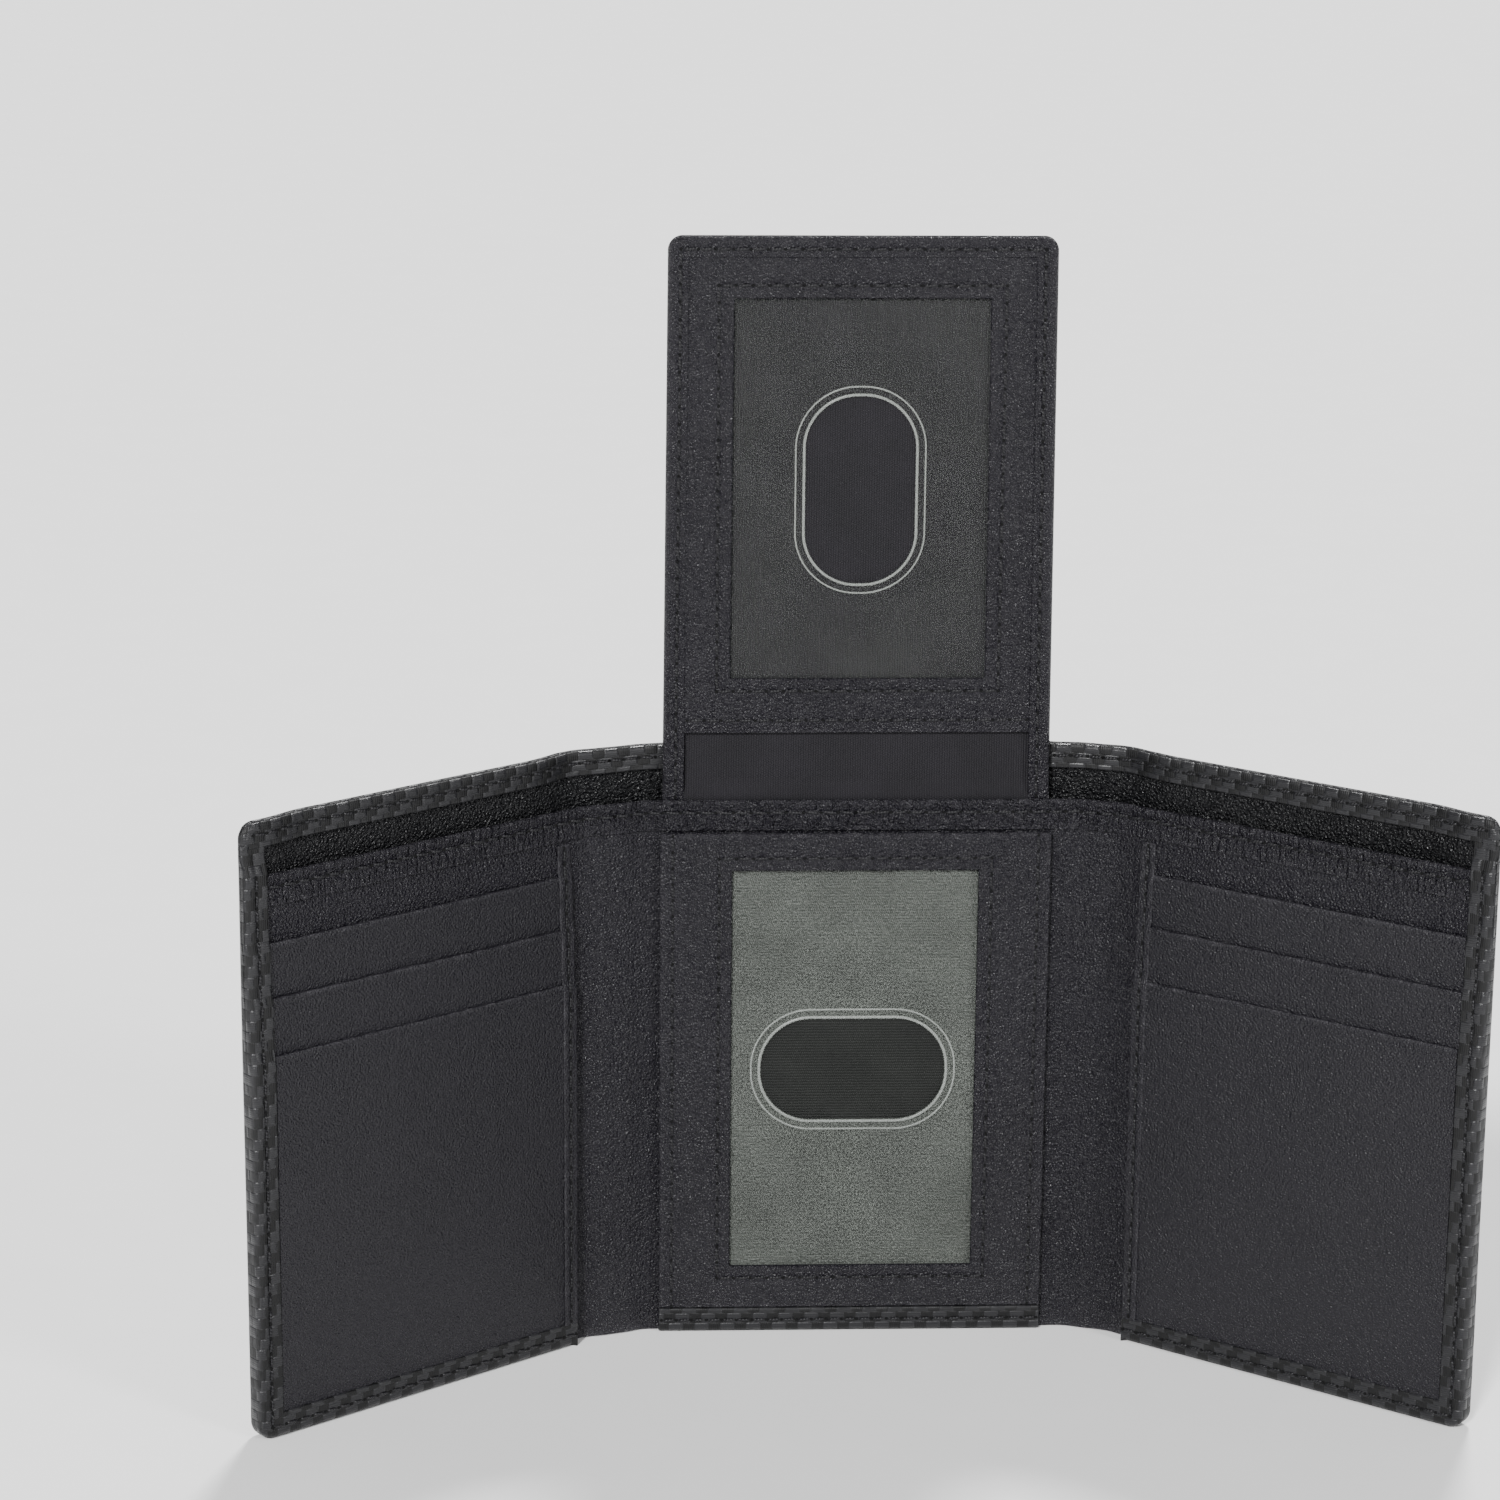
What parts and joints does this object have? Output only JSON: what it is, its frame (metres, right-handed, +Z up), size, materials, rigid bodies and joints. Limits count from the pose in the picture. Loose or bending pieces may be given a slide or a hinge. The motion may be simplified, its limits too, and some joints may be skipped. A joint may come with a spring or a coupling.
{
  "type": "trifold wallet",
  "caption": "Trifold wallet shown open and standing: windowed centre pocket with a turned-up card flap, two folding wings with stepped card slots, woven-look outer cover.",
  "frame": {"origin": "middle of the centre panel's lower edge, on the surface it stands on", "axes": "+X along the open wallet to the right as seen from inside, +Y to the outer back, +Z up along the folds"},
  "size_m": [0.2135, 0.0555, 0.2006],
  "materials": {
    "carbon_leather": "embossed twill weave, semi-gloss",
    "inner_leather": "fine pebble grain, satin",
    "lining_fabric": "fine ribbed textile, matte",
    "clear_vinyl": "clear flexible sheet, glossy",
    "thread": "twisted polyester thread",
    "stiffener_board": "grey board"
  },
  "bodies": {
    "centre": {"centre_cover": "carbon_leather", "centre_stiffener": "stiffener_board", "centre_bill_lining": "lining_fabric", "centre_divider": "inner_leather", "id_pocket_lining": "lining_fabric", "id_pocket_window": "clear_vinyl", "id_pocket_frame": "inner_leather", "flap_hinge_tail": "inner_leather", "id_pocket_thread": "thread", "centre_hem_thread": "thread", "centre_divider_thread": "thread", "centre_cover_thread": "thread"},
    "left_spine": {"left_spine_cover": "carbon_leather", "left_spine_bill_lining": "lining_fabric", "left_spine_divider": "inner_leather", "left_spine_cover_thread": "thread"},
    "left_wing": {"left_wing_cover": "carbon_leather", "left_wing_stiffener": "stiffener_board", "left_wing_bill_lining": "lining_fabric", "left_wing_divider": "inner_leather", "left_wing_card_slot_1": "inner_leather", "left_wing_slot_lining_1": "lining_fabric", "left_wing_card_slot_2": "inner_leather", "left_wing_slot_lining_2": "lining_fabric", "left_wing_card_slot_3": "inner_leather", "left_wing_slot_lining_3": "lining_fabric", "left_wing_edge_binding": "inner_leather", "left_wing_binding_thread": "thread", "left_wing_hem_thread": "thread", "left_wing_divider_thread": "thread", "left_wing_cover_thread": "thread"},
    "right_spine": {"right_spine_cover": "carbon_leather", "right_spine_bill_lining": "lining_fabric", "right_spine_divider": "inner_leather", "right_spine_cover_thread": "thread"},
    "right_wing": {"right_wing_cover": "carbon_leather", "right_wing_stiffener": "stiffener_board", "right_wing_bill_lining": "lining_fabric", "right_wing_divider": "inner_leather", "right_wing_card_slot_1": "inner_leather", "right_wing_slot_lining_1": "lining_fabric", "right_wing_card_slot_2": "inner_leather", "right_wing_slot_lining_2": "lining_fabric", "right_wing_card_slot_3": "inner_leather", "right_wing_slot_lining_3": "lining_fabric", "right_wing_edge_binding": "inner_leather", "right_wing_binding_thread": "thread", "right_wing_hem_thread": "thread", "right_wing_divider_thread": "thread", "right_wing_cover_thread": "thread"},
    "flap": {"flap_back": "inner_leather", "flap_lining": "lining_fabric", "flap_window": "clear_vinyl", "flap_frame": "inner_leather", "flap_edge_thread": "thread", "flap_window_thread": "thread"}
  },
  "joints": [
    {"name": "left_fold_inner", "type": "hinge", "parent": "centre", "child": "left_spine", "pos_m": [-0.0365, -0.0016, 0], "axis": [0, 0, 1], "range_deg": [-18.75, 71.25]},
    {"name": "left_fold_outer", "type": "hinge", "parent": "left_spine", "child": "left_wing", "pos_m": [-0.04976, -0.0061, 0], "axis": [0, 0, 1], "range_deg": [-18.75, 71.25]},
    {"name": "right_fold_inner", "type": "hinge", "parent": "centre", "child": "right_spine", "pos_m": [0.03943, -0.0016, 0], "axis": [0, 0, -1], "range_deg": [-18.75, 71.25]},
    {"name": "right_fold_outer", "type": "hinge", "parent": "right_spine", "child": "right_wing", "pos_m": [0.04714, -0.00422, 0], "axis": [0, 0, -1], "range_deg": [-18.75, 71.25]},
    {"name": "flap_fold", "type": "hinge", "parent": "centre", "child": "flap", "pos_m": [0, -0.00325, 0.1009], "axis": [1, 0, 0], "range_deg": [-9, 180]}
  ],
  "couplings": [
    {"joint": "left_fold_outer", "follows": "left_fold_inner", "ratio": 1},
    {"joint": "right_fold_outer", "follows": "right_fold_inner", "ratio": 1}
  ]
}
